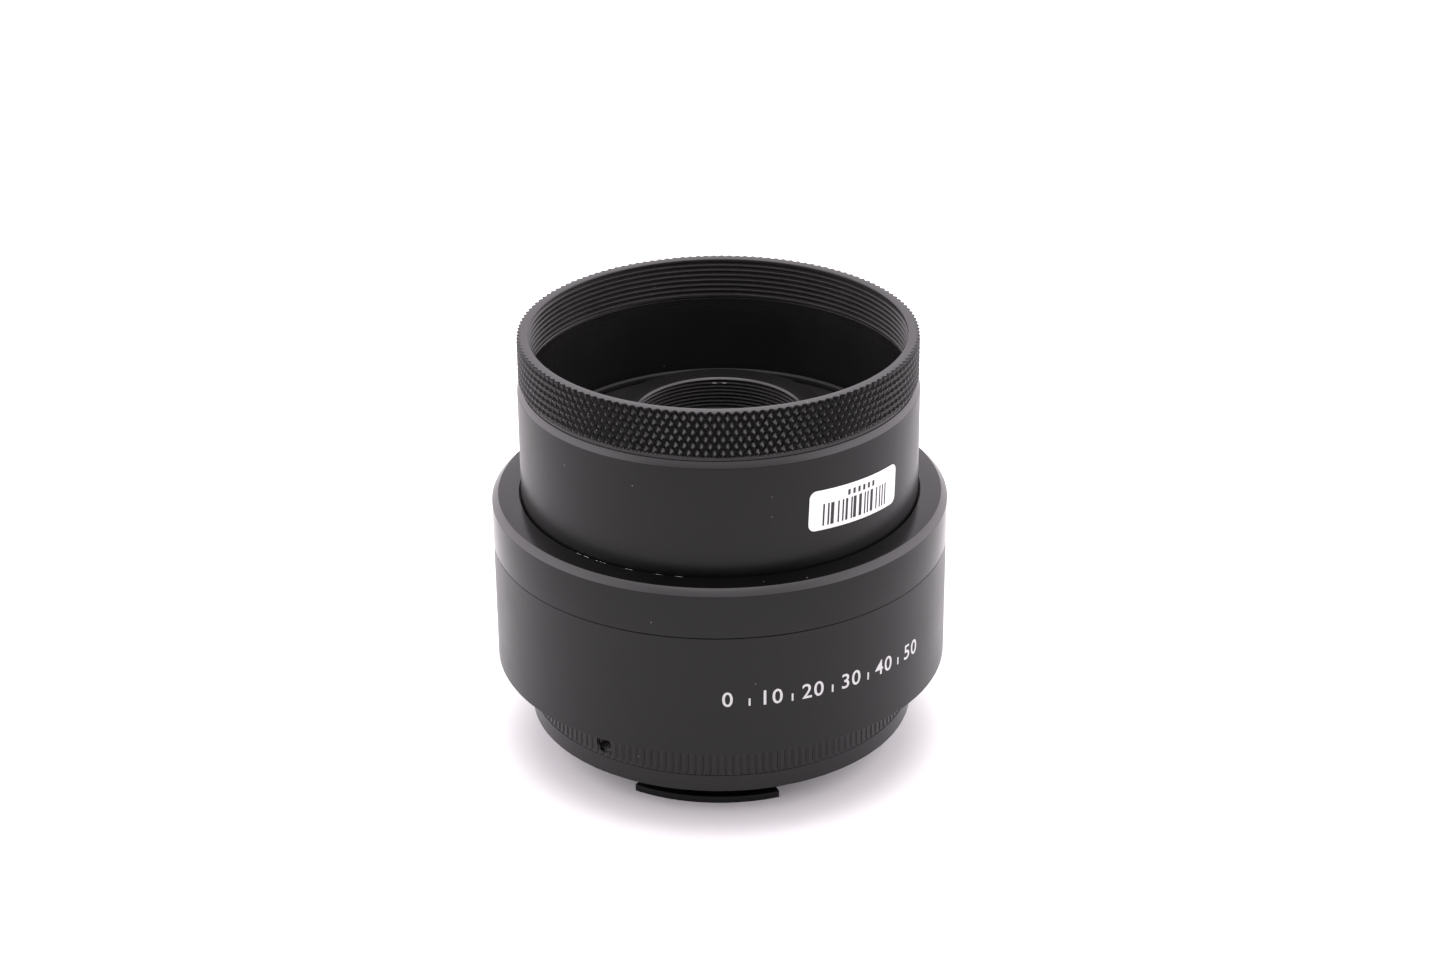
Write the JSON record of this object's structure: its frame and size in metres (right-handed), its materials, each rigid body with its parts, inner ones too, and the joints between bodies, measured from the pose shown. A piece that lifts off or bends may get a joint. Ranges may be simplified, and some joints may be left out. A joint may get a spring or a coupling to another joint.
{
  "type": "helical focusing barlow lens unit",
  "caption": "Black anodised negative lens unit: a knurled focus barrel turns in and out of a round housing above a clamped bayonet mount ring.",
  "frame": {"origin": "centre of the circle under the three bayonet lugs, on the optical axis", "axes": "+Z along the optical axis from the bayonet to the knurled mouth; -Y faces the side with the label"},
  "size_m": [0.0744, 0.0744, 0.0719],
  "materials": {
    "black_anodised": "satin black anodised",
    "matt_black_anodised": "matt black anodised",
    "black_steel": "blackened",
    "brass": "turned",
    "felt": "black felt",
    "optical_glass": "coated",
    "label_paper": "satin printed"
  },
  "bodies": {
    "housing": {"housing_body": "black_anodised", "retaining_collar": "black_anodised", "felt_seal": "felt", "helicoid_nut": "brass", "guide_sleeve": "matt_black_anodised", "guide_sleeve_screw_1": "black_steel", "guide_sleeve_screw_2": "black_steel", "guide_sleeve_screw_3": "black_steel", "t2_inner_ring": "black_anodised"},
    "carrier": {"lens_carrier": "matt_black_anodised", "guide_key_1": "brass", "guide_key_2": "brass", "guide_key_3": "brass", "thread_adapter": "black_anodised", "adapter_lock_ring": "black_anodised", "cell_body": "matt_black_anodised", "lens_negative": "optical_glass", "lens_positive": "optical_glass", "cell_retainer": "matt_black_anodised", "glare_baffle": "matt_black_anodised"},
    "barrel": {"focus_barrel": "black_anodised", "knurled_front_ring": "black_anodised", "carrier_retainer": "matt_black_anodised", "inventory_label": "label_paper"},
    "rear_mount": {"mount_ring": "black_anodised", "bayonet_ring": "black_anodised", "bayonet_screw_1": "black_steel", "bayonet_screw_2": "black_steel", "bayonet_screw_3": "black_steel", "bayonet_screw_4": "black_steel", "set_screw_1": "black_steel", "set_screw_2": "black_steel", "set_screw_3": "black_steel"}
  },
  "joints": [
    {"name": "focus_slide", "type": "slide", "parent": "housing", "child": "carrier", "axis": [0, 0, 1], "range_m": [-0.0091, 0.0031]},
    {"name": "focus_turn", "type": "hinge", "parent": "carrier", "child": "barrel", "pos_m": [0, 0, 0.05], "axis": [0, 0, 1], "range_deg": [-270, 90]},
    {"name": "rear_ring_turn", "type": "hinge", "parent": "housing", "child": "rear_mount", "pos_m": [0, 0, 0.0104], "axis": [0, 0, 1], "continuous": true}
  ],
  "couplings": [
    {"joint": "focus_slide", "follows": "focus_turn", "m_per_rad": 0.0019099}
  ]
}
